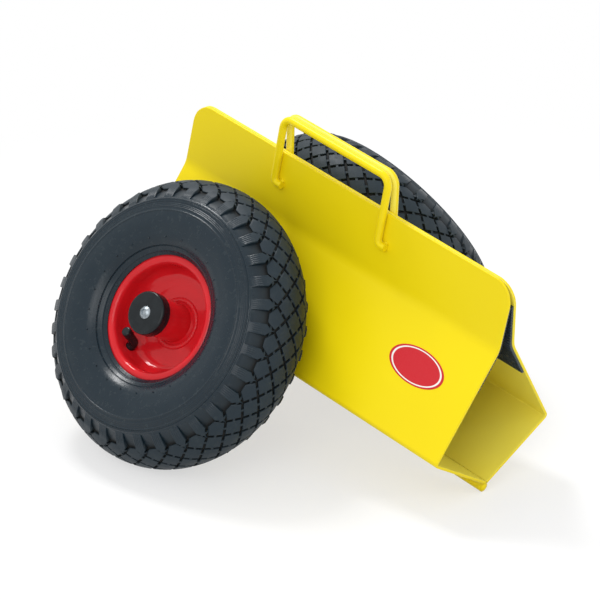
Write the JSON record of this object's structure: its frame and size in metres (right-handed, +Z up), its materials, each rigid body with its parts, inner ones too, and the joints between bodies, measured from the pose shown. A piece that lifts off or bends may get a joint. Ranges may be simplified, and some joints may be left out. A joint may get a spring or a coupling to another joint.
{
  "type": "panel cart",
  "caption": "Self-clamping panel cart: bent steel jaw plates hinged along the bottom, ribbed rubber linings, rod handles and cambered pneumatic wheels; a panel's weight closes the jaws.",
  "frame": {"origin": "on the floor, below the middle of the cart's length and width, with the jaws closed and the cart standing on both tyres and the low end of its hinge", "axes": "+X along the cart towards the low end of the hinge that rests on the floor, +Y across from the near half to the far half, +Z up from the floor"},
  "size_m": [0.4212, 0.4236, 0.2856],
  "materials": {
    "yellow_powder_coat": "glossy yellow powder coat on folded steel sheet",
    "lining_rubber": "ribbed black rubber strip",
    "tyre_rubber": "matt black tyre rubber",
    "tube_rubber": "smooth butyl rubber",
    "red_paint": "glossy red enamel on pressed steel",
    "black_plastic": "satin black moulding",
    "bush_plastic": "plain nylon moulding",
    "valve_rubber": "rubber-covered valve stem",
    "zinc_steel": "bright zinc plate on turned steel"
  },
  "bodies": {
    "near_half": {"near_jaw_plate": "yellow_powder_coat", "near_rubber_lining": "lining_rubber", "near_handle": "yellow_powder_coat", "near_axle": "yellow_powder_coat", "near_axle_collar": "zinc_steel", "near_end_cap": "black_plastic", "near_end_screw": "zinc_steel", "near_hinge_barrels": "yellow_powder_coat", "hinge_pin": "yellow_powder_coat"},
    "near_wheel": {"near_tyre": "tyre_rubber", "near_inner_tube": "tube_rubber", "near_rim_outer": "red_paint", "near_rim_inner": "red_paint", "near_hub": "red_paint", "near_hub_bushes": "bush_plastic", "near_valve_stem": "valve_rubber", "near_valve_cap": "black_plastic"},
    "near_bearing": {"near_bearing_rollers": "zinc_steel", "near_bearing_cage": "bush_plastic"},
    "far_half": {"far_jaw_plate": "yellow_powder_coat", "far_rubber_lining": "lining_rubber", "far_handle": "yellow_powder_coat", "far_axle": "yellow_powder_coat", "far_axle_collar": "zinc_steel", "far_end_cap": "black_plastic", "far_end_screw": "zinc_steel", "far_hinge_barrels": "yellow_powder_coat"},
    "far_wheel": {"far_tyre": "tyre_rubber", "far_inner_tube": "tube_rubber", "far_rim_outer": "red_paint", "far_rim_inner": "red_paint", "far_hub": "red_paint", "far_hub_bushes": "bush_plastic", "far_valve_stem": "valve_rubber", "far_valve_cap": "black_plastic"},
    "far_bearing": {"far_bearing_rollers": "zinc_steel", "far_bearing_cage": "bush_plastic"}
  },
  "joints": [
    {"name": "jaw_hinge", "type": "hinge", "parent": "near_half", "child": "far_half", "pos_m": [-0.01475, 0, 0.03497], "axis": [-0.9879, 0, 0.1549], "range_deg": [0, 28]},
    {"name": "near_wheel_spin", "type": "hinge", "parent": "near_half", "child": "near_wheel", "pos_m": [-0.07788, -0.12212, 0.1165], "axis": [0.0837, -0.8416, 0.5336], "continuous": true},
    {"name": "near_bearing_spin", "type": "hinge", "parent": "near_half", "child": "near_bearing", "pos_m": [-0.07788, -0.12212, 0.1165], "axis": [0.0837, -0.8416, 0.5336], "continuous": true},
    {"name": "far_wheel_spin", "type": "hinge", "parent": "far_half", "child": "far_wheel", "pos_m": [-0.07788, 0.12212, 0.1165], "axis": [0.0837, 0.8416, 0.5336], "continuous": true},
    {"name": "far_bearing_spin", "type": "hinge", "parent": "far_half", "child": "far_bearing", "pos_m": [-0.07788, 0.12212, 0.1165], "axis": [0.0837, 0.8416, 0.5336], "continuous": true}
  ],
  "couplings": [
    {"joint": "near_bearing_spin", "follows": "near_wheel_spin", "ratio": 0.6},
    {"joint": "far_bearing_spin", "follows": "far_wheel_spin", "ratio": 0.6}
  ]
}
